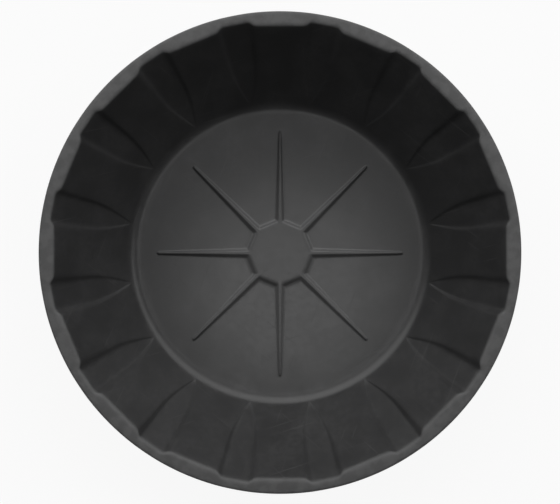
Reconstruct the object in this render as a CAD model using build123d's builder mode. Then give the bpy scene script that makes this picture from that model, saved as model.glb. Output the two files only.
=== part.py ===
"""Fluted pan: one thin moulded shell with a flat floor, a sloping wall of flat panels
parted by narrow channels, a flat rim with its edge turned down, and a raised star of
ribs that stiffens the floor.

The axis of the pan is Z, its floor rests on Z = 0, and a panel is centred on +X.
"""

from build123d import *
from math import atan2, cos, degrees, radians, sin, sqrt, tan
import os

# Overall sizes, in millimetres and degrees
rim_diameter = 356.0
height = 60.0
floor_diameter = 227.0  # where the lines of the inner floor and wall would meet
wall = 2.5

# Wall of flat panels
panel_count = 16
floor_bend = 12.0  # inside radius between floor and wall
rim_width = 11.0  # flat rim, at the middle of a panel
rim_bend = 6.0  # rounding between wall and rim

# Channels between the panels
channel_set_back = 4.1  # channel floor behind the middle of a panel, at the rim
channel_half_angle = 3.7  # seen from the axis
channel_side_slope = 38.0  # side face, from square to the wall
channel_arch = 37.0  # length of the pointed lower end, up the wall

# Turned-down edge of the rim
lip_depth = 6.5
lip_thickness = 2.5
lip_round = 1.6
lip_end_round = 0.8

# Star of ribs on the floor
rib_count = 8
star_height = 2.2
star_slope = 45.0  # side faces, from the floor
hub_apothem = 22.8  # flat top of the hub
rib_root_width = 3.2  # flat top of a rib, at the axis
rib_tip_width = 0.6  # the same at its outer end
rib_end_gap = 13.2  # from a rib's outer end to the bend of the floor
recess_depth = 1.4  # the same star, hollowed out of the underside
groove_root_width = 2.4  # flat ceiling of the groove under a rib, at the axis
groove_tip_width = 0.3

# Mark of the injection gate, under the hub
gate_diameter = 9.0
gate_height = 0.7

# Worked-out sizes
rim_radius = rim_diameter / 2
floor_radius = floor_diameter / 2
panel_step = 360 / panel_count
panel_apothem = rim_radius - rim_width
channel_radius = panel_apothem + channel_set_back
inner_height = height - wall
panel_slope = degrees(atan2(inner_height, panel_apothem - floor_radius))
channel_slope = degrees(atan2(inner_height, channel_radius - floor_radius))
bend_run = floor_bend * tan(radians(panel_slope / 2))  # from the corner to the bend's ends
bend_centre = floor_radius - bend_run
bend_height = wall + floor_bend
rib_reach = bend_centre - rib_end_gap


def bend_point(skin, angle):
    """Point on the floor bend, skin outside the inner face, angle from straight down."""
    reach = floor_bend + skin
    return (bend_centre + reach * sin(radians(angle)), bend_height - reach * cos(radians(angle)))


def ring_of_arcs(radius):
    """Full circle in one arc for each panel, so that a loft matches it to the panels."""
    with BuildSketch(Plane.XY) as ring:
        with BuildLine():
            for index in range(panel_count):
                CenterArc((0, 0), radius, (index - 0.5) * panel_step, panel_step)
        make_face()
    return ring.sketch


def channel_outline(grow):
    """Pointed arch of a channel, widened all round by grow.

    X runs up the wall from the floor corner, and Y runs round the pan.
    """
    flare = atan2(tan(radians(channel_half_angle)) * cos(radians(channel_slope)), 1)
    shoulder = bend_run + channel_arch
    shoulder_radius = floor_radius + shoulder * cos(radians(channel_slope))
    half_width = shoulder_radius * tan(radians(channel_half_angle))
    lean = half_width * cos(flare) - channel_arch * sin(flare)
    arch_radius = (channel_arch**2 + half_width**2) / (2 * lean)
    centre = (shoulder + arch_radius * sin(flare), half_width - arch_radius * cos(flare))
    reach = arch_radius + grow
    side_low = (centre[0] - reach * sin(flare), centre[1] + reach * cos(flare))
    run = 1.25 * inner_height / sin(radians(channel_slope)) - shoulder
    side_high = (side_low[0] + run, side_low[1] + run * tan(flare))
    tip = (centre[0] - sqrt(reach**2 - centre[1] ** 2), 0)
    with BuildSketch(Plane.XY) as outline:
        with BuildLine():
            Line((side_high[0], 0), side_high)
            Line(side_high, side_low)
            RadiusArc(side_low, tip, reach)
            mirror(about=Plane.XZ)
        make_face()
    return outline.sketch


def channel(skin):
    """Solid that opens one channel, with its faces skin outside the inner faces."""
    slope = radians(channel_slope)
    side = radians(channel_side_slope)
    floor_plane = Plane(
        origin=(floor_radius, 0, wall),
        x_dir=(cos(slope), 0, sin(slope)),
        z_dir=(sin(slope), 0, -cos(slope)),
    )
    with BuildPart() as solid:
        with BuildSketch(floor_plane.offset(skin)):
            add(channel_outline(skin * tan(radians(45) - side / 2)))
        with BuildSketch(floor_plane.offset(-channel_set_back)):
            add(channel_outline(channel_set_back * tan(side) + skin / cos(side)))
        loft(ruled=True)
        split(bisect_by=Plane.XY.offset(bend_point(skin, panel_slope)[1]), keep=Keep.TOP)
    return solid.part


def dish(skin):
    """Filled shape of the pan up to the top of its rim, skin outside the inner faces."""
    bend_end = bend_point(skin, panel_slope)
    across = skin / sin(radians(panel_slope))
    with BuildPart() as solid:
        with BuildSketch(Plane.XZ):
            with BuildLine():
                Polyline(bend_end, (0, bend_end[1]), (0, wall - skin), bend_point(skin, 0))
                ThreePointArc(bend_point(skin, 0), bend_point(skin, panel_slope / 2), bend_end)
            make_face()
        revolve(axis=Axis.Z)
        with BuildSketch(Plane.XY.offset(bend_end[1])):
            add(ring_of_arcs(bend_end[0]))
        with BuildSketch(Plane.XY.offset(height)):
            RegularPolygon(
                panel_apothem + across, panel_count, major_radius=False, rotation=panel_step / 2
            )
        loft(ruled=True)
        with PolarLocations(0, panel_count, start_angle=panel_step / 2):
            add(channel(skin))
        split(bisect_by=Plane.XY.offset(height), keep=Keep.BOTTOM)
    return solid.part


def rim():
    """Flat disc of the rim with its turned-down edge, before the hollow is cut."""
    with BuildPart() as solid:
        with BuildSketch(Plane.XZ):
            with Locations((0, height)):
                Rectangle(rim_radius, wall, align=(Align.MIN, Align.MAX))
            with Locations((rim_radius, height)):
                lip = Rectangle(lip_thickness, lip_depth, align=(Align.MAX, Align.MAX))
            corners = lip.vertices().group_by(Axis.Y)
            fillet(corners[-1].sort_by(Axis.X)[-1], radius=lip_round)
            fillet(corners[0], radius=lip_end_round)
        revolve(axis=Axis.Z)
    return solid.part


def rib_outline(root_width, tip_width, spread, grow):
    """Taper of a rib with its round end, seen from above, widened by grow from its flat top."""
    tip_radius = tip_width / 2 + grow
    tip_centre = rib_reach - tip_width / 2 - spread
    with BuildSketch(Plane.XY) as outline:
        with BuildLine():
            Polyline((0, 0), (0, root_width / 2 + grow), (tip_centre, tip_radius))
            RadiusArc((tip_centre, tip_radius), (tip_centre + tip_radius, 0), tip_radius)
            mirror(about=Plane.XZ)
        make_face()
    return outline.sketch


def rib(foot_height, tall, root_width, tip_width):
    """One rib of a star, from the axis out along X, with sloping side faces."""
    spread = tall / tan(radians(star_slope))
    with BuildPart() as solid:
        with BuildSketch(Plane.XY.offset(foot_height)):
            add(rib_outline(root_width, tip_width, spread, spread))
        with BuildSketch(Plane.XY.offset(foot_height + tall)):
            add(rib_outline(root_width, tip_width, spread, 0))
        loft(ruled=True)
    return solid.part


def star(foot_height, tall, apothem, root_width, tip_width):
    """Hub with its corners on the ribs, and the ribs, all with sloping side faces."""
    spread = tall / tan(radians(star_slope))
    with BuildPart() as solid:
        with BuildSketch(Plane.XY.offset(foot_height)):
            RegularPolygon(apothem + spread, rib_count, major_radius=False)
        with BuildSketch(Plane.XY.offset(foot_height + tall)):
            RegularPolygon(apothem, rib_count, major_radius=False)
        loft(ruled=True)
        with PolarLocations(0, rib_count):
            add(rib(foot_height, tall, root_width, tip_width))
    return solid.part


with BuildPart() as pan:
    add(dish(wall))
    add(rim())
    add(dish(0), mode=Mode.SUBTRACT)

    # Inner edge of the rim
    rim_face = pan.faces().filter_by(GeomType.PLANE).sort_by(Axis.Z)[-1]
    fillet(rim_face.inner_wires()[0].edges(), radius=rim_bend)

    # Star on the floor, the hollow star below it and the gate mark in the hollow
    add(star(wall, star_height, hub_apothem, rib_root_width, rib_tip_width))
    hollow_apothem = hub_apothem - wall * tan(radians(star_slope / 2))
    hollow = star(0, recess_depth, hollow_apothem, groove_root_width, groove_tip_width)
    add(hollow, mode=Mode.SUBTRACT)
    with BuildSketch(Plane.XY.offset(recess_depth)):
        Circle(gate_diameter / 2)
    extrude(amount=-gate_height)

pan.part.label = "pan"
os.makedirs("parts", exist_ok=True)
export_step(pan.part, "parts/pan.step")
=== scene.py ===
"""Fluted black pan: its moulded shell, its finish and the studio it is pictured in.

The shell is modelled as a few grids, each a small slice of the round, which are mirrored,
spun about the axis of the pan, joined and smoothed by subdivision.
"""

import logging
import math
from dataclasses import dataclass, field
from enum import Enum

import bmesh
import bpy
from mathutils import Matrix, Vector


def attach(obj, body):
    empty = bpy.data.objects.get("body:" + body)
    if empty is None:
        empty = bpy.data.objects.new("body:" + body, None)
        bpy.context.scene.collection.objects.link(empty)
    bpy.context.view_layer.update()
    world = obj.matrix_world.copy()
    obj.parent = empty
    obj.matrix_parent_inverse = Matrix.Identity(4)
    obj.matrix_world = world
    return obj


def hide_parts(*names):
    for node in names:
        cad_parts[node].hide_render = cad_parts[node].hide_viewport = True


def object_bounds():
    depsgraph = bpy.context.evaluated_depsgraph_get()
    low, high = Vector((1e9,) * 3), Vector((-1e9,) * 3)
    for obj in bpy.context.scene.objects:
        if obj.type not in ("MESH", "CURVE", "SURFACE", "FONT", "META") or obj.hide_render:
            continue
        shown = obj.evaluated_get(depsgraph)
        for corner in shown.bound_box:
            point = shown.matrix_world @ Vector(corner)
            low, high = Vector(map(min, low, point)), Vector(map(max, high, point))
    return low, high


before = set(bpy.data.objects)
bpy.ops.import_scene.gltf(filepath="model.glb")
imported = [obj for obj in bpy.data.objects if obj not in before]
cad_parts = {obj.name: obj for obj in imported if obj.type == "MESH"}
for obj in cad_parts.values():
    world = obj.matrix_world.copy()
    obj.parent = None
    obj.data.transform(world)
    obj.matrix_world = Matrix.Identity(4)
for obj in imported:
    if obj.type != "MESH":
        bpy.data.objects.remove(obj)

CAD_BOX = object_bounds()
LOG = logging.getLogger("pan")
MERGE_GAP = 2e-6  # points nearer than this become one

Row = list[Vector]
Pair = tuple[float, float]
Colour = tuple[float, float, float, float]
Socket = bpy.types.NodeSocket
Value = float | Vector | Colour | Socket


class Side(Enum):
    """The two faces of the moulding."""

    INNER = "inner"
    OUTER = "outer"


def polar(radius: float, angle: float, rise: float) -> Vector:
    """Point at a radius, an angle in degrees from +X, and a height."""
    turn = math.radians(angle)
    return Vector((radius * math.cos(turn), radius * math.sin(turn), rise))


def smooth_step(value: float) -> float:
    """Ease from 0 to 1 as value goes from 0 to 1."""
    held = min(1.0, max(0.0, value))
    return held * held * (3 - 2 * held)


def mix(start: float, end: float, share: float) -> float:
    """Number the given share of the way from start to end."""
    return start + (end - start) * share


def shaped_grid(name: str, rows: list[Row]) -> bpy.types.Object:
    """Add a flat grid and pull each of its vertices to its place.

    Args:
        name: Name of the new object.
        rows: Places of the vertices, one list for each row of the grid.

    Returns:
        The shaped object, in object mode.
    """
    bpy.ops.object.select_all(action="DESELECT")
    bpy.ops.mesh.primitive_grid_add(
        x_subdivisions=len(rows[0]) - 1, y_subdivisions=len(rows) - 1, size=CAD_BOX[1][2]
    )
    piece = bpy.context.object
    piece.name = name
    bpy.ops.object.mode_set(mode="EDIT")
    bpy.ops.mesh.select_mode(type="VERT")
    bpy.ops.mesh.select_all(action="DESELECT")
    cage = bmesh.from_edit_mesh(piece.data)
    cage.verts.ensure_lookup_table()
    places = [place for row in rows for place in row]
    for index, place in enumerate(places):
        vertex = cage.verts[index]
        vertex.select_set(True)
        bpy.ops.transform.translate(value=place - vertex.co)
        vertex.select_set(False)
    bpy.ops.object.mode_set(mode="OBJECT")
    return piece


def spin_round(piece: bpy.types.Object, count: int) -> None:
    """Mirror a slice across the XZ plane and repeat it round the Z axis.

    Args:
        piece: Slice that starts on the XZ plane and spans half of one repeat.
        count: Number of repeats in the full turn.
    """
    flip = piece.modifiers.new("Other half", "MIRROR")
    flip.use_axis = (False, True, False)
    flip.merge_threshold = MERGE_GAP
    bpy.context.view_layer.objects.active = piece
    bpy.ops.object.modifier_apply(modifier=flip.name)
    bpy.ops.object.mode_set(mode="EDIT")
    bpy.ops.mesh.select_all(action="SELECT")
    bpy.ops.mesh.spin(
        steps=count - 1,
        dupli=True,
        angle=math.tau * (count - 1) / count,
        center=(0, 0, 0),
        axis=(0, 0, 1),
    )
    bpy.ops.mesh.select_all(action="SELECT")
    bpy.ops.mesh.remove_doubles(threshold=MERGE_GAP)
    bpy.ops.object.mode_set(mode="OBJECT")


@dataclass(frozen=True)
class Section:
    """Sizes of the pan's section, in metres, which its sub-assemblies share."""

    rim_radius: float
    height: float
    wall: float = 0.0025
    floor_radius: float = 0.1135  # where the lines of floor and wall would meet
    floor_bend: float = 0.012
    rim_width: float = 0.011  # at the middle of a panel
    channel_set_back: float = 0.0041  # behind the middle of a panel, at the rim

    @property
    def panel_apothem(self) -> float:
        """Distance from the axis to the top edge of a panel."""
        return self.rim_radius - self.rim_width

    @property
    def slope(self) -> float:
        """Slope of a panel, in radians."""
        return math.atan2(self.height - self.wall, self.panel_apothem - self.floor_radius)

    @property
    def bend_centre(self) -> Pair:
        """Radius and height of the centre of the floor bend."""
        run = self.floor_bend * math.tan(self.slope / 2)
        return self.floor_radius - run, self.wall + self.floor_bend

    def skin(self, side: Side) -> float:
        """Distance of a face from the inner one."""
        return self.wall if side is Side.OUTER else 0.0

    def bend(self, side: Side, share: float) -> Pair:
        """Place on the bend between floor and wall.

        Args:
            side: Face of the moulding.
            share: 0 where the floor ends, 1 where the wall begins.

        Returns:
            Radius and height.
        """
        reach = self.floor_bend + self.skin(side)
        angle = self.slope * share
        radius, rise = self.bend_centre
        return radius + reach * math.sin(angle), rise - reach * math.cos(angle)


@dataclass(frozen=True)
class Flutes:
    """Lines of vertices that run up the wall, from the middle of a channel to that of a panel."""

    section: Section
    panel_count: int = 16
    line_count: int = 8
    half_width: Pair = (0.15, 3.6)  # of a channel's floor, shut and open, in degrees
    side_width: Pair = (0.25, 0.9)  # of its side, at the foot and top of the wall
    side_support: Pair = (0.35, 1.35)  # from its side to the next line, likewise
    floor_support: float = 0.7  # second line, as a share of the half width
    outer_growth: float = 0.42  # wider on the outer face, in degrees
    sunk_lines: int = 3
    shoulder: float = 0.54  # share of the height at which a channel is fully open
    sinking: float = 0.04  # share of the height over which its floor leaves the bend
    depth_power: float = 0.72

    @property
    def half_step(self) -> float:
        """Angle from the middle of a channel to the middle of a panel."""
        return 180 / self.panel_count

    def opening(self, rise: float) -> float:
        """Share of its full width that a channel has at a share of the wall's height."""
        below = max(0.0, 1 - rise / self.shoulder)
        return 1 - below * below

    def angle(self, line: int, rise: float, side: Side) -> float:
        """Angle of a line from the middle of its channel, in degrees.

        Args:
            line: Number of the line, 0 in the middle of the channel.
            rise: Share of the wall's height.
            side: Face of the moulding.

        Returns:
            The angle, seen from the axis.
        """
        opening = self.opening(rise)
        edge = mix(*self.half_width, opening)
        if side is Side.OUTER:
            edge += self.outer_growth * opening
        shoulder = edge + mix(*self.side_width, rise)
        support = shoulder + mix(*self.side_support, rise)
        lines = [0, self.floor_support * edge, edge, shoulder, support]
        rest = self.line_count - len(lines)
        lines += [mix(support, self.half_step, (step + 1) / rest) for step in range(rest)]
        return lines[line]

    def place(self, line: int, rise: float, side: Side) -> tuple[float, float, float]:
        """Place on the wall, before the rim's rounding.

        Args:
            line: Number of the line.
            rise: Share of the height from the floor bend to the top of the rim.
            side: Face of the moulding.

        Returns:
            Radius, angle from the middle of the panel in degrees, and height.
        """
        section = self.section
        angle = self.angle(line, rise, side)
        from_panel = self.half_step - angle
        low_radius, low = section.bend(side, 1)
        height = mix(low, section.height, rise)
        across = section.skin(side) / math.sin(section.slope)
        top_radius = (section.panel_apothem + across) / math.cos(math.radians(from_panel))
        radius = mix(low_radius, top_radius, rise)
        if line < self.sunk_lines:
            share = (height - section.wall) / (section.height - section.wall)
            depth = section.channel_set_back * share**self.depth_power
            flat = mix(section.floor_radius, section.panel_apothem, share) + depth + across
            sunk = flat / math.cos(math.radians(angle))
            radius = mix(radius, sunk, smooth_step(rise / self.sinking))
        return radius, from_panel, height

    def row(self, rise: float, side: Side) -> Row:
        """Row of vertices across the wall, from the middle of a panel to that of a channel."""
        return [polar(*self.place(line, rise, side)) for line in reversed(range(self.line_count))]

    def ring(self, radius: float, height: float) -> Row:
        """Row of vertices round the pan below the channels, as wide as half a panel.

        Args:
            radius: Radius of the row.
            height: Height of the row.

        Returns:
            Points from the middle of a panel to that of a channel.
        """
        lines = reversed(range(self.line_count))
        turns = [self.half_step - self.angle(line, 0, Side.INNER) for line in lines]
        return [polar(radius, turn, height) for turn in turns]


@dataclass(frozen=True)
class Wall:
    """Sloping wall of flat panels with a channel between each two.

    Its rows lie at steps, in shares of the wall's height, that are closer near the floor.
    """

    flutes: Flutes
    low_steps: tuple[float, ...] = (0, 0.025, 0.06, 0.1, 0.15, 0.21, 0.28)
    high_steps: tuple[float, ...] = (0.36, 0.44, 0.52, 0.64, 0.77, 0.88)

    def build(self, side: Side, top: float) -> bpy.types.Object:
        """Model one face of the wall.

        Args:
            side: Face of the moulding.
            top: Share of the height at which the rim takes over.

        Returns:
            The full round of the face.
        """
        steps = self.low_steps + self.high_steps
        rises = [step for step in steps if step < top] + [top]
        rows = [self.flutes.row(rise, side) for rise in rises]
        piece = shaped_grid(f"wall_{side.value}", rows)
        spin_round(piece, self.flutes.panel_count)
        return piece


@dataclass(frozen=True)
class Rim:
    """Flat rim, rounded into the wall, with its outer edge turned down."""

    flutes: Flutes
    bend: float = 0.006
    lip_depth: float = 0.0065
    lip_thickness: float = 0.0025
    lip_round: float = 0.0016
    lip_end_round: float = 0.0008
    arc_steps: int = 4
    edge_turns: tuple[float, ...] = (90, 60, 30, 0)
    end_turns: tuple[float, ...] = (0, -45, -90)
    inner_turns: tuple[float, ...] = (-90, -135, -180)
    flat_share: float = 0.5  # row on the flat, from the rounding to the edge
    under_shares: Pair = (0.3, 0.75)  # rows under the flat, from the edge to the wall

    @property
    def inner_top(self) -> float:
        """Where the rounding of a panel starts.

        Returns:
            Share of the wall's height.
        """
        low_radius, low = self.flutes.section.bend(Side.INNER, 1)
        top_radius, _, top = self.flutes.place(self.flutes.line_count - 1, 1, Side.INNER)
        slope = math.atan2(top - low, top_radius - low_radius)
        length = math.hypot(top - low, top_radius - low_radius)
        return 1 - self.bend * math.tan(slope / 2) / length

    def rounding(self, line: int, share: float) -> Vector:
        """Point on the rounding between wall and rim.

        Args:
            line: Number of the line.
            share: 0 at the wall, 1 on the rim.

        Returns:
            The point.
        """
        start_radius, _, start = self.flutes.place(line, self.inner_top, Side.INNER)
        top_radius, angle, top = self.flutes.place(line, 1, Side.INNER)
        slope = math.atan2(top - start, top_radius - start_radius)
        reach = self.bend * math.tan(slope / 2)
        turn = slope * (1 - share)
        radius = top_radius + reach - self.bend * math.sin(turn)
        return polar(radius, angle, top - self.bend + self.bend * math.cos(turn))

    def round_row(self, radius: float, height: float, blend: float = 1.0) -> Row:
        """Row round the rim, or between the rounding and such a row.

        Args:
            radius: Radius of the row.
            height: Height of the row.
            blend: Share of the way from the rounding's edge to that radius.

        Returns:
            Points from the middle of a panel to that of a channel.
        """
        row = []
        for line in reversed(range(self.flutes.line_count)):
            edge = self.rounding(line, 1)
            _, angle, _ = self.flutes.place(line, 1, Side.INNER)
            row.append(polar(mix(edge.xy.length, radius, blend), angle, height))
        return row

    def corner(
        self, radius: float, height: float, bend: float, turns: tuple[float, ...]
    ) -> list[Row]:
        """Rows round a rounded corner.

        Args:
            radius: Radius of the centre of the corner's arc.
            height: Height of that centre.
            bend: Radius of the arc.
            turns: Directions of the rows from the centre, in degrees from outwards.

        Returns:
            One row for each direction.
        """
        rows = []
        for turn in turns:
            out = bend * math.cos(math.radians(turn))
            rise = bend * math.sin(math.radians(turn))
            rows.append(self.round_row(radius + out, height + rise))
        return rows

    def build(self, outer_top: float) -> bpy.types.Object:
        """Model the rim from the inner wall round to the outer one.

        Args:
            outer_top: Share of the outer wall's height at which it meets the rim.

        Returns:
            The full round of the rim.
        """
        section = self.flutes.section
        lines = list(reversed(range(self.flutes.line_count)))
        rows = [self.flutes.row(self.inner_top, Side.INNER)]
        for step in range(1, self.arc_steps + 1):
            rows.append([self.rounding(line, step / self.arc_steps) for line in lines])
        top = section.height
        outside = section.rim_radius
        inside = outside - self.lip_thickness
        edge = outside - self.lip_round
        rows.append(self.round_row(edge, top, self.flat_share))
        rows += self.corner(edge, top - self.lip_round, self.lip_round, self.edge_turns)
        small = self.lip_end_round
        end = top - self.lip_depth + small
        rows += self.corner(outside - small, end, small, self.end_turns)
        rows += self.corner(inside + small, end, small, self.inner_turns)
        under = top - section.wall
        rows.append(self.round_row(inside, under - small))
        rows.append(self.round_row(inside, under))
        outer = self.flutes.row(outer_top, Side.OUTER)
        corner = rows[-1]
        for share in self.under_shares:
            rows.append([place.lerp(target, share) for place, target in zip(corner, outer)])
        rows.append(outer)
        piece = shaped_grid("rim", rows)
        spin_round(piece, self.flutes.panel_count)
        return piece


@dataclass(frozen=True)
class Star:
    """Star of ribs round a hub, raised on the floor or hollowed out of the underside."""

    hub_apothem: float
    root_width: float
    tip_width: float
    foot: float  # height at which its sides start
    face: float  # height of its flat top, or of the ceiling of the hollow one
    hub_ring: float  # radius of the hole that is left inside the hub
    reach: float = 0.09503  # from the axis to the foot of a rib's end
    rib_count: int = 8
    level_reach: float = 0.0262  # out to here the star keeps its full height
    tip_share: float = 0.5  # of that height, at the end of a rib
    edge_support: float = 0.0006
    most_support: float = 0.45  # at most this share of the way from edge to spine
    foot_support: float = 0.0008
    spine_end: float = 0.4  # share of the round end that the spine reaches
    side_shares: tuple[float, ...] = (0.1, 0.26, 0.43, 0.6, 0.77, 0.92, 0.985)
    hub_shares: tuple[float, ...] = (0.14, 0.4, 0.7)

    @property
    def spread(self) -> float:
        """How much wider the star is at its foot than at its face, on each side."""
        return abs(self.face - self.foot)

    @property
    def tip(self) -> float:
        """Distance from the axis to the centre of a rib's round end."""
        return self.reach - self.tip_width / 2 - self.spread * self.tip_share

    def depth_share(self, out: float) -> float:
        """Share of the star's full height that it has at a distance from the axis."""
        share = (out - self.level_reach) / (self.tip - self.level_reach)
        return mix(1, self.tip_share, min(1.0, max(0.0, share)))

    def half_width(self, out: float, grow: float) -> float:
        """Half the width of a rib at a distance from the axis, widened by grow."""
        taper = mix(self.root_width, self.tip_width, out / self.tip) / 2
        return taper + grow * self.depth_share(out)

    def outline(self, grow: float, height: float) -> Row:
        """Edge of the star from the end of a rib to the middle of a side of the hub.

        Args:
            grow: How far outside the face's edge the line lies.
            height: Height of the line.

        Returns:
            Row of points, one for each column of the floor.
        """
        turn = math.pi / self.rib_count
        apothem = self.hub_apothem + grow
        taper = (self.half_width(self.tip, 0) - self.half_width(0, 0)) / self.tip
        root = (apothem - self.half_width(0, grow) * math.sin(turn)) / (
            math.cos(turn) + taper * math.sin(turn)
        )
        corner = Vector((root, self.half_width(root, grow), height))
        end = self.half_width(self.tip, grow)
        side = Vector((self.tip, end, height))
        middle = Vector((apothem * math.cos(turn), apothem * math.sin(turn), height))
        slant = end * math.sqrt(0.5)
        row = [
            Vector((self.tip + end, 0, height)),
            Vector((self.tip + slant, slant, height)),
            side,
        ]
        row += [side.lerp(corner, share) for share in self.side_shares]
        row += [corner]
        row += [corner.lerp(middle, share) for share in self.hub_shares]
        return row + [middle]

    def spine(self) -> Row:
        """Middle line of a rib, and then the ring inside the hub.

        Returns:
            Row of points at the height of the face, one for each column of the floor.
        """
        turn = 180 / self.rib_count
        outline = self.outline(0, self.face)
        bends = len(self.hub_shares) + 1
        along = [Vector((place.x, 0, self.face)) for place in outline[: -bends - 1]]
        along[0].x = mix(self.tip, along[0].x, self.spine_end)
        along[1].x = self.tip
        along[2].x = self.tip - self.tip_width / 4
        return along + [
            polar(self.hub_ring, turn * step / bends, self.face) for step in range(bends + 1)
        ]

    def rows(self) -> list[Row]:
        """Rows of the whole star.

        Returns:
            Rows from the middle of the star out to just beyond its foot.
        """
        spine = self.spine()
        edge = self.outline(0, self.face)
        support = []
        for inner, outer in zip(spine, edge):
            share = self.edge_support / (inner - outer).length
            support.append(outer.lerp(inner, min(self.most_support, share)))
        for place in spine + support + edge:
            place.z = mix(self.foot, self.face, self.depth_share(place.xy.length))
        foot = self.outline(self.spread, self.foot)
        beyond = self.outline(self.spread + self.foot_support, self.foot)
        return [spine, support, edge, foot, beyond]


@dataclass(frozen=True)
class Floor:
    """Floor with its star, out to the end of the bend into the wall."""

    flutes: Flutes
    star: Star
    side: Side
    floor_shares: tuple[float, ...] = (0.15, 0.4, 0.7)
    bend_steps: int = 5

    def ring(self, radius: float, height: float) -> Row:
        """Row of vertices round the pan, across two halves of a panel.

        Args:
            radius: Radius of the row.
            height: Height of the row.

        Returns:
            Points from the line of a rib to midway between two ribs.
        """
        half = self.flutes.ring(radius, height)
        turn = Matrix.Rotation(math.radians(2 * self.flutes.half_step), 3, "Z")
        other = [turn @ Vector((place.x, -place.y, place.z)) for place in reversed(half[:-1])]
        return half + other

    def build(self) -> bpy.types.Object:
        """Model one face of the floor.

        Returns:
            The full round, with a hole inside the hub.
        """
        section = self.flutes.section
        rows = self.star.rows()
        start = self.ring(*section.bend(self.side, 0))
        beyond = rows[-1]
        for share in self.floor_shares:
            rows.append([place.lerp(target, share) for place, target in zip(beyond, start)])
        for step in range(self.bend_steps + 1):
            rows.append(self.ring(*section.bend(self.side, step / self.bend_steps)))
        piece = shaped_grid(f"floor_{self.side.value}", rows)
        spin_round(piece, self.star.rib_count)
        return piece


@dataclass(frozen=True)
class GateMark:
    """Round mark that the moulding's gate leaves in the middle of the underside."""

    radius: float = 0.0045
    height: float = 0.0007
    edge: float = 0.00025

    @property
    def reach(self) -> float:
        """Radius of the hole that the mark and its surround fill."""
        return self.radius + 4 * self.edge

    def steps(self) -> tuple[Pair, ...]:
        """Rings of the mark, from the outside in.

        Returns:
            Radius of each ring, and how far it stands below the one before.
        """
        return (
            (self.radius + self.edge, 0.0),
            (self.radius, 0.0),
            (self.radius - self.edge, self.height),
            (self.radius - 2 * self.edge, 0.0),
        )


class Graph:
    """Node tree, with short ways to add and join its nodes."""

    def __init__(self, tree: bpy.types.NodeTree) -> None:
        """Keep the tree."""
        self.tree = tree

    def add(self, kind: str) -> bpy.types.Node:
        """Add a node of a kind, named without its leading ShaderNode."""
        return self.tree.nodes.new("ShaderNode" + kind)

    def place(self) -> Socket:
        """Place on the object, in its own axes."""
        return self.add("TexCoord").outputs["Object"]

    def feed(self, socket: Socket, value: Value) -> None:
        """Set a socket, or link it where the value is another node's output.

        Args:
            socket: Input of a node.
            value: What goes into it.
        """
        if isinstance(value, Socket):
            self.tree.links.new(value, socket)
        else:
            socket.default_value = value

    def maths(self, kind: str, first: Value, *others: Value) -> Socket:
        """Combine numbers one after another by Math nodes.

        Args:
            kind: Operation of the nodes.
            first: First number.
            others: Numbers that join it in turn.

        Returns:
            The output that carries the result.
        """
        total = first
        for other in others:
            node = self.add("Math")
            node.operation = kind
            self.feed(node.inputs[0], total)
            self.feed(node.inputs[1], other)
            total = node.outputs[0]
        return total

    def part(self, vector: Value, axis: str) -> Socket:
        """Split one component off a vector.

        Args:
            vector: Vector to split.
            axis: Name of the component, X, Y or Z.

        Returns:
            The output that carries it.
        """
        node = self.add("SeparateXYZ")
        self.feed(node.inputs[0], vector)
        return node.outputs[axis]

    def ramp(self, value: Value, low: float, high: float, ends: Pair = (0, 1)) -> Socket:
        """Ease a number from one range to another.

        Args:
            value: Number to read.
            low: Start of the range that is read.
            high: End of that range.
            ends: Results at its start and below, and at its end and above.

        Returns:
            The output that carries the result.
        """
        node = self.add("MapRange")
        node.interpolation_type = "SMOOTHSTEP"
        for socket, number in zip(node.inputs, (value, low, high, *ends)):
            self.feed(socket, number)
        return node.outputs[0]

    def noise(self, scale: float, detail: float, place: Socket | None = None) -> Socket:
        """Uneven pattern from 0 to 1.

        Args:
            scale: Number of its coarsest patches in a metre.
            detail: Number of finer layers.
            place: Where it is read, on the object if nothing is given.

        Returns:
            The output that carries the pattern.
        """
        node = self.add("TexNoise")
        self.feed(node.inputs["Vector"], place or self.place())
        self.feed(node.inputs["Scale"], scale)
        self.feed(node.inputs["Detail"], detail)
        return node.outputs["Fac"]

    def stretched(self, turn: float, scale: Vector) -> Socket:
        """Place on the object in axes that are turned and stretched.

        Args:
            turn: Turn about the axis of the pan, in degrees.
            scale: Length of one unit of the new place, in metres, on each axis.

        Returns:
            The output that carries the new place.
        """
        node = self.add("Mapping")
        node.vector_type = "TEXTURE"
        self.feed(node.inputs["Vector"], self.place())
        node.inputs["Rotation"].default_value = (0, 0, math.radians(turn))
        node.inputs["Scale"].default_value = scale
        return node.outputs[0]

    def blend(self, share: Value, first: Value, second: Value) -> Socket:
        """Mix two colours.

        Args:
            share: 0 for the first colour, 1 for the second.
            first: First colour.
            second: Second colour.

        Returns:
            The output that carries the mixed colour.
        """
        node = self.add("Mix")
        node.data_type = "RGBA"
        self.feed(node.inputs["Factor"], share)
        colours = [socket for socket in node.inputs if socket.type == "RGBA"]
        self.feed(colours[0], first)
        self.feed(colours[1], second)
        return [socket for socket in node.outputs if socket.type == "RGBA"][0]


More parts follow.
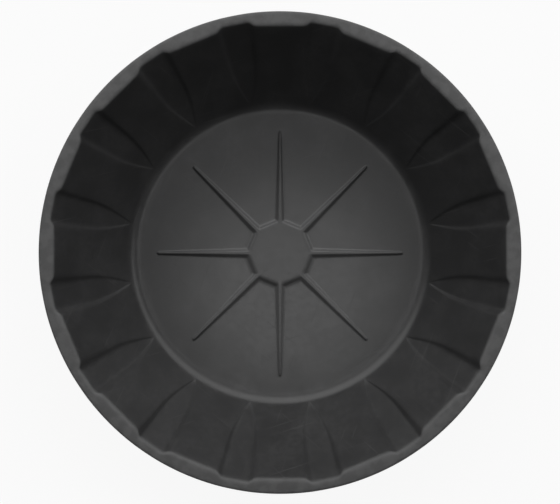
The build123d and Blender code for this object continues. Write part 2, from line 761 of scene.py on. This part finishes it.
@dataclass(frozen=True)
class WearAndPaintedLight:
    """Colours of the scratches and of the painted highlights on the rim, the floor and the star,
    and how far each reaches.
    """

    # rim, floor and crest colours are painted highlights; scratch is the colour of real scratches
    rim: Colour = (0.126, 0.126, 0.1265, 1)
    floor: Colour = (0.096, 0.096, 0.0965, 1)
    crest_highlight: Colour = (0.07, 0.07, 0.0705, 1)
    scratch: Colour = (0.075, 0.075, 0.0755, 1)
    floor_highlight_centre: Vector = Vector((0.008, -0.03, 0))
    floor_highlight_core: float = 0.03
    floor_highlight_reach: float = 0.118
    floor_highlight_wander: float = 0.05
    floor_highlight_detail: float = 4
    floor_highlight_start: Pair = (0.6, 0.8)  # shares of its thickness, which spare the underside
    crest_highlight_start: float = 0.7  # share of the star's height
    crest_highlight_level: Pair = (0.9, 0.97)  # upward part of the normal
    crest_highlight_strength: float = 0.4
    scratch_strength: float = 0.3
    scratch_turns: tuple[float, ...] = (17.0, 68.0, 141.0)
    scratch_size: Vector = Vector((0.06, 0.0015, 0.06))
    scratch_range: Pair = (0.7, 0.76)


@dataclass(frozen=True)
class MouldedPlastic:
    """Black polypropylene with a fine moulded grain and scratches, painted lighter grey as
    highlights on the rim's top, the floor's middle and the star's top.
    """

    rim_height: float
    star_low: float
    star_high: float
    wear_and_light: WearAndPaintedLight = field(default_factory=WearAndPaintedLight)
    name: str = "black_plastic"
    colour: Colour = (0.0325, 0.0325, 0.033, 1)
    patch_colour: Colour = (0.0445, 0.0445, 0.045, 1)
    roughness: float = 0.36
    roughness_spread: Pair = (-0.025, 0.035)
    rim_roughness: float = 0.62
    scratch_roughness: float = 0.12
    rounding: float = 0.0013
    rounding_left: float = 1 / 6  # share of it that gets the painted rim highlight in full
    patch_scale: float = 42.0
    patch_detail: float = 6
    patch_range: Pair = (0.35, 0.65)
    patch_least: float = 0.5
    mottle_scale: float = 260.0
    mottle_detail: float = 4
    mottle_range: Pair = (0.3, 0.7)
    mottle_height: float = 0.2
    rim_detail: float = 5
    rim_range: Pair = (0.38, 0.62)
    rim_least: float = 0.7
    grain_scale: float = 1300.0
    grain_detail: float = 3
    grain_height: float = 0.00004
    grain_strength: float = 0.3

    def rim_highlight_share(self, graph: Graph) -> Socket:
        """How far a place gets the painted highlight on the mottled top of the rim.

        Args:
            graph: Node tree of the material.

        Returns:
            The output that carries the share.
        """
        low = self.rim_height - self.rounding
        high = self.rim_height - self.rounding * self.rounding_left
        near = graph.ramp(graph.part(graph.place(), "Z"), low, high)
        noise = graph.noise(self.mottle_scale / 2, self.rim_detail)
        mottle = graph.ramp(noise, *self.rim_range, (self.rim_least, 1))
        return graph.maths("MULTIPLY", near, mottle)

    def floor_highlight_share(self, graph: Graph) -> Socket:
        """How far the floor is painted lighter grey as a painted highlight, a pool of light that
        is strongest in its middle.

        Args:
            graph: Node tree of the material.

        Returns:
            The output that carries the share.
        """
        wear_and_light = self.wear_and_light
        away = graph.add("VectorMath")
        away.operation = "DISTANCE"
        graph.feed(away.inputs[0], graph.place())
        graph.feed(away.inputs[1], wear_and_light.floor_highlight_centre)
        level = graph.maths("SUBTRACT", graph.noise(self.patch_scale, wear_and_light.floor_highlight_detail), 0.5)
        uneven = graph.maths("MULTIPLY", level, wear_and_light.floor_highlight_wander)
        radius = graph.maths("ADD", away.outputs["Value"], uneven)
        height = graph.part(graph.place(), "Z")
        low = graph.ramp(height, self.star_high, self.star_high + self.rounding, (1, 0))
        inner = graph.ramp(height, *(self.star_low * share for share in wear_and_light.floor_highlight_start))
        near = graph.ramp(radius, wear_and_light.floor_highlight_core, wear_and_light.floor_highlight_reach, (1, 0))
        return graph.maths("MULTIPLY", near, low, inner)

    def crest_highlight_share(self, graph: Graph) -> Socket:
        """How far a place gets the painted highlight on the upward-facing top of the raised star.

        Args:
            graph: Node tree of the material.

        Returns:
            The output that carries the share.
        """
        height = graph.part(graph.place(), "Z")
        start = mix(self.star_low, self.star_high, self.wear_and_light.crest_highlight_start)
        above = graph.ramp(height, start, self.star_high)
        below = graph.ramp(height, self.star_high, self.star_high + self.rounding, (1, 0))
        facing = graph.part(graph.add("NewGeometry").outputs["Normal"], "Z")
        level = graph.ramp(facing, *self.wear_and_light.crest_highlight_level)
        return graph.maths("MULTIPLY", above, below, level)

    def scratches(self, graph: Graph) -> Socket:
        """Faint straight scratches that gravel leaves, in a few directions.

        Args:
            graph: Node tree of the material.

        Returns:
            The output that carries their share.
        """
        lines = []
        for turn in self.wear_and_light.scratch_turns:
            noise = graph.noise(1, 1, graph.stretched(turn, self.wear_and_light.scratch_size))
            lines.append(graph.ramp(noise, *self.wear_and_light.scratch_range))
        return graph.maths("MAXIMUM", *lines)

    def tint(self, graph: Graph, mottle: Socket, rim: Socket, scratches: Socket) -> Socket:
        """Colour of the plastic, with its scratches and its painted highlights.

        Args:
            graph: Node tree of the material.
            mottle: Fine uneven pattern.
            rim: Share of the painted highlight on the rim's top.
            scratches: Share of the scratches.

        Returns:
            The output that carries the colour.
        """
        wear_and_light = self.wear_and_light
        noise = graph.noise(self.patch_scale, self.patch_detail)
        patches = graph.ramp(noise, *self.patch_range)
        fine = graph.ramp(mottle, *self.mottle_range, (self.patch_least, 1))
        share = graph.maths("MULTIPLY", patches, fine)
        colour = graph.blend(share, self.colour, self.patch_colour)
        # painted highlight: the floor's middle is painted lighter grey as a pool of light
        colour = graph.blend(self.floor_highlight_share(graph), colour, wear_and_light.floor)
        share = graph.maths("MULTIPLY", scratches, wear_and_light.scratch_strength)
        colour = graph.blend(share, colour, wear_and_light.scratch)
        # painted highlight: the upward-facing top of the star is painted lighter
        share = graph.maths("MULTIPLY", self.crest_highlight_share(graph), wear_and_light.crest_highlight_strength)
        colour = graph.blend(share, colour, wear_and_light.crest_highlight)
        # painted highlight: the top of the rim is painted lighter grey, mottled
        return graph.blend(rim, colour, wear_and_light.rim)

    def gloss(self, graph: Graph, mottle: Socket, rim: Socket, scratches: Socket) -> Socket:
        """Roughness of the plastic.

        Args:
            graph: Node tree of the material.
            mottle: Fine uneven pattern.
            rim: Share of the rim's top, the place of its painted highlight, which is also made
                rougher.
            scratches: Share of the scratches.

        Returns:
            The output that carries the roughness.
        """
        ends = tuple(self.roughness + change for change in self.roughness_spread)
        base = graph.ramp(mottle, *self.mottle_range, ends)
        worn = graph.maths("MULTIPLY", rim, self.rim_roughness - self.roughness)
        scratched = graph.maths("MULTIPLY", scratches, self.scratch_roughness)
        return graph.maths("ADD", base, worn, scratched)

    def relief(self, graph: Graph, mottle: Socket, scratches: Socket) -> Socket:
        """Normal of the moulded grain and the scratches.

        Args:
            graph: Node tree of the material.
            mottle: Fine uneven pattern.
            scratches: Share of the scratches.

        Returns:
            The output that carries the normal.
        """
        bump = graph.add("Bump")
        bump.inputs["Strength"].default_value = self.grain_strength
        bump.inputs["Distance"].default_value = self.grain_height
        coarse = graph.maths("MULTIPLY", mottle, self.mottle_height)
        fine = graph.noise(self.grain_scale, self.grain_detail)
        grain = graph.maths("ADD", fine, coarse)
        graph.feed(bump.inputs["Height"], graph.maths("SUBTRACT", grain, scratches))
        return bump.outputs[0]

    def material(self) -> bpy.types.Material:
        """Build the node material.

        Returns:
            The finished material.
        """
        material = bpy.data.materials.new(self.name)
        material.use_nodes = True
        graph = Graph(material.node_tree)
        shader = material.node_tree.nodes["Principled BSDF"]
        mottle = graph.noise(self.mottle_scale, self.mottle_detail)
        scratches = self.scratches(graph)
        rim = self.rim_highlight_share(graph)
        graph.feed(shader.inputs["Base Color"], self.tint(graph, mottle, rim, scratches))
        graph.feed(shader.inputs["Roughness"], self.gloss(graph, mottle, rim, scratches))
        graph.feed(shader.inputs["Normal"], self.relief(graph, mottle, scratches))
        return material


@dataclass(frozen=True)
class Pan:
    """The whole moulding."""

    section: Section
    gate: GateMark = field(default_factory=GateMark)
    star_height: float = 0.0022
    star_slope: float = 45.0
    hub_apothem: float = 0.0228
    hub_ring: float = 0.012
    hub_inset: float = 0.004
    rib_widths: Pair = (0.0032, 0.0006)
    recess_depth: float = 0.0014
    groove_widths: Pair = (0.0024, 0.0003)

    def stars(self) -> dict[Side, Star]:
        """Raised star of the floor, and the hollow one under it.

        Returns:
            The two stars, each under its face of the moulding.
        """
        closer = self.section.wall * math.tan(math.radians(self.star_slope / 2))
        return {
            Side.INNER: Star(
                hub_apothem=self.hub_apothem,
                root_width=self.rib_widths[0],
                tip_width=self.rib_widths[1],
                foot=self.section.wall,
                face=self.section.wall + self.star_height,
                hub_ring=self.hub_ring,
            ),
            Side.OUTER: Star(
                hub_apothem=self.hub_apothem - closer,
                root_width=self.groove_widths[0],
                tip_width=self.groove_widths[1],
                foot=0.0,
                face=self.recess_depth,
                hub_ring=self.gate.reach,
            ),
        }

    def hole(self, piece: bpy.types.Object, side: Side) -> None:
        """Select the edge of the hole that is left inside a hub.

        Args:
            piece: Joined faces, in edit mode.
            side: Face of the moulding.
        """
        middle = mix(self.recess_depth, self.section.wall + self.star_height, 0.5)
        bpy.ops.mesh.select_mode(type="EDGE")
        bpy.ops.mesh.select_all(action="DESELECT")
        cage = bmesh.from_edit_mesh(piece.data)
        for edge in cage.edges:
            above = edge.verts[0].co.z > middle
            edge.select_set(edge.is_boundary and above is (side is Side.INNER))
        bmesh.update_edit_mesh(piece.data)

    def close_hub(self, piece: bpy.types.Object) -> None:
        """Fill the face of the raised hub.

        Args:
            piece: Joined faces, in edit mode.
        """
        self.hole(piece, Side.INNER)
        bpy.ops.mesh.edge_face_add()
        bpy.ops.mesh.inset(thickness=self.hub_inset)

    def press_gate(self, piece: bpy.types.Object) -> None:
        """Fill the ceiling of the hollow hub, with the gate's mark in its middle.

        Args:
            piece: Joined faces, in edit mode.
        """
        self.hole(piece, Side.OUTER)
        radius = self.gate.reach
        for smaller, drop in self.gate.steps():
            bpy.ops.mesh.extrude_edges_move(TRANSFORM_OT_translate={"value": (0, 0, -drop)})
            share = smaller / radius
            bpy.ops.transform.resize(value=(share, share, 1), center_override=(0, 0, 0))
            radius = smaller
        bpy.ops.mesh.edge_face_add()
        bpy.ops.mesh.inset(thickness=self.gate.radius / 2)

    def close(self, piece: bpy.types.Object) -> None:
        """Merge the joined faces into one closed skin, and smooth it.

        Args:
            piece: Joined faces, in object mode.
        """
        bpy.ops.object.mode_set(mode="EDIT")
        bpy.ops.mesh.select_all(action="SELECT")
        bpy.ops.mesh.remove_doubles(threshold=MERGE_GAP)
        self.close_hub(piece)
        self.press_gate(piece)
        bpy.ops.mesh.select_mode(type="VERT")
        bpy.ops.mesh.select_all(action="SELECT")
        bpy.ops.mesh.normals_make_consistent(inside=False)
        bpy.ops.object.mode_set(mode="OBJECT")
        smoothing = piece.modifiers.new("Smoothing", "SUBSURF")
        smoothing.levels = 1
        smoothing.render_levels = 1
        bpy.ops.object.modifier_apply(modifier=smoothing.name)
        bpy.ops.object.shade_smooth()

    def build(self) -> bpy.types.Object:
        """Model the pan and give it its finish.

        Returns:
            The finished piece.
        """
        flutes = Flutes(self.section)
        rim = Rim(flutes)
        wall = Wall(flutes)
        _, low = self.section.bend(Side.OUTER, 1)
        under = self.section.height - self.section.wall
        outer_top = (under - low) / (self.section.height - low)
        parts = [Floor(flutes, star, side).build() for side, star in self.stars().items()]
        LOG.info("floor with its star and the hollow under it")
        parts += [wall.build(Side.INNER, rim.inner_top), wall.build(Side.OUTER, outer_top)]
        LOG.info("wall with %d panels", flutes.panel_count)
        parts.append(rim.build(outer_top))
        LOG.info("rim with its turned-down edge")
        bpy.ops.object.select_all(action="DESELECT")
        for part in parts:
            part.select_set(True)
        bpy.context.view_layer.objects.active = parts[0]
        bpy.ops.object.join()
        piece = bpy.context.object
        piece.name = "moulded_pan"
        self.close(piece)
        piece.data.materials.clear()
        finish = MouldedPlastic(
            rim_height=self.section.height,
            star_low=self.section.wall,
            star_high=self.section.wall + self.star_height,
        )
        piece.data.materials.append(finish.material())
        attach(piece, "root")
        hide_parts("pan")
        return piece


@dataclass(frozen=True)
class Lamp:
    """Soft rectangular lamp that faces the pan, in metres and watts."""

    name: str
    place: Vector
    size: Pair
    power: float

    def build(self) -> None:
        """Hang the lamp, out of the camera's sight."""
        light = bpy.data.lights.new(self.name, "AREA")
        light.shape = "RECTANGLE"
        light.size, light.size_y = self.size
        light.energy = self.power
        lamp = bpy.data.objects.new(self.name, light)
        bpy.context.scene.collection.objects.link(lamp)
        lamp.visible_camera = False
        lamp.location = self.place
        lamp.rotation_euler = (-self.place).to_track_quat("-Z", "Y").to_euler()


@dataclass(frozen=True)
class Studio:
    """Pale floor, soft lamps and the camera above the pan."""

    rim_height: float
    camera_distance: float = 1.2
    camera_tilt: float = 0.8  # from straight down, in degrees
    view_width: float = 0.4121  # across the view, at the rim
    sensor_width: float = 36.0
    room_light: float = 0.014
    backdrop_rise: float = 0.01  # gloss sees white up to here above the horizon
    floor_width: float = 60.0
    floor_gap: float = 0.0002
    floor_glow: float = 0.92  # share of plain white in what the camera sees of it
    floor_colour: Colour = (0.9, 0.9, 0.9, 1)
    floor_roughness: float = 0.8
    lamps: tuple[Lamp, ...] = (
        Lamp("key", Vector((-0.05, 1.415, 1.44)), (5.0, 1.84), 52),
        Lamp("top", Vector((0, -0.055, 1.4)), (0.22, 0.22), 0.92),
        Lamp("side", Vector((1.3, 0.27, 1.3)), (0.4, 0.55), 2.2),
    )

    def floor(self) -> None:
        """Lay the pale floor, a hair under the pan, white to the camera, gloss and glass."""
        bpy.ops.mesh.primitive_plane_add(size=self.floor_width, location=(0, 0, -self.floor_gap))
        floor = bpy.context.object
        floor.name = "studio_floor"
        material = bpy.data.materials.new("floor_white")
        material.use_nodes = True
        graph = Graph(material.node_tree)
        shader = graph.tree.nodes["Principled BSDF"]
        shader.inputs["Base Color"].default_value = self.floor_colour
        shader.inputs["Roughness"].default_value = self.floor_roughness
        shader.inputs["Specular IOR Level"].default_value = 0.0
        path = graph.add("LightPath").outputs
        rays = (path["Is Camera Ray"], path["Is Glossy Ray"], path["Is Transmission Ray"])
        seen = graph.maths("MAXIMUM", *rays)
        blend = graph.add("MixShader")
        graph.feed(blend.inputs[0], graph.maths("MULTIPLY", seen, self.floor_glow))
        graph.feed(blend.inputs[1], shader.outputs[0])
        graph.feed(blend.inputs[2], graph.add("Emission").outputs[0])
        graph.feed(graph.tree.nodes["Material Output"].inputs[0], blend.outputs[0])
        floor.data.materials.append(material)

    def world(self) -> None:
        """Set the dim room, white to the camera, and to gloss and glass where they see low."""
        world = bpy.data.worlds.new("studio")
        bpy.context.scene.world = world
        world.use_nodes = True
        graph = Graph(world.node_tree)
        sky = graph.tree.nodes["Background"]
        sky.inputs["Color"].default_value = (1, 1, 1, 1)
        height = graph.part(graph.add("TexCoord").outputs["Generated"], "Z")
        low = graph.maths("LESS_THAN", height, self.backdrop_rise)
        path = graph.add("LightPath").outputs
        gloss = graph.maths("MAXIMUM", path["Is Glossy Ray"], path["Is Transmission Ray"])
        seen = graph.maths("MULTIPLY", gloss, low)
        light = graph.maths("MAXIMUM", seen, path["Is Camera Ray"], self.room_light)
        graph.feed(sky.inputs["Strength"], light)

    def camera(self) -> None:
        """Hang the camera over the pan, looking down its axis."""
        lens = bpy.data.cameras.new("camera")
        lens.sensor_width = self.sensor_width
        lens.lens = self.sensor_width * self.camera_distance / self.view_width
        camera = bpy.data.objects.new("camera", lens)
        bpy.context.scene.collection.objects.link(camera)
        tilt = math.radians(self.camera_tilt)
        back = Vector((0, -math.sin(tilt), math.cos(tilt)))
        camera.location = Vector((0, 0, self.rim_height)) + back * self.camera_distance
        camera.rotation_euler = (tilt, 0, 0)
        bpy.context.scene.camera = camera

    def build(self) -> None:
        """Make the whole studio."""
        self.camera()
        self.floor()
        self.world()
        for lamp in self.lamps:
            lamp.build()
        bpy.context.scene.view_settings.view_transform = "Standard"


def main() -> None:
    """Build the pan and its studio."""
    logging.basicConfig(level=logging.INFO)
    low, high = CAD_BOX
    Studio(rim_height=high[2]).build()
    Pan(Section(rim_radius=(high[0] - low[0]) / 2, height=high[2])).build()
    LOG.info("moulded pan")


if __name__ == "__main__":
    main()
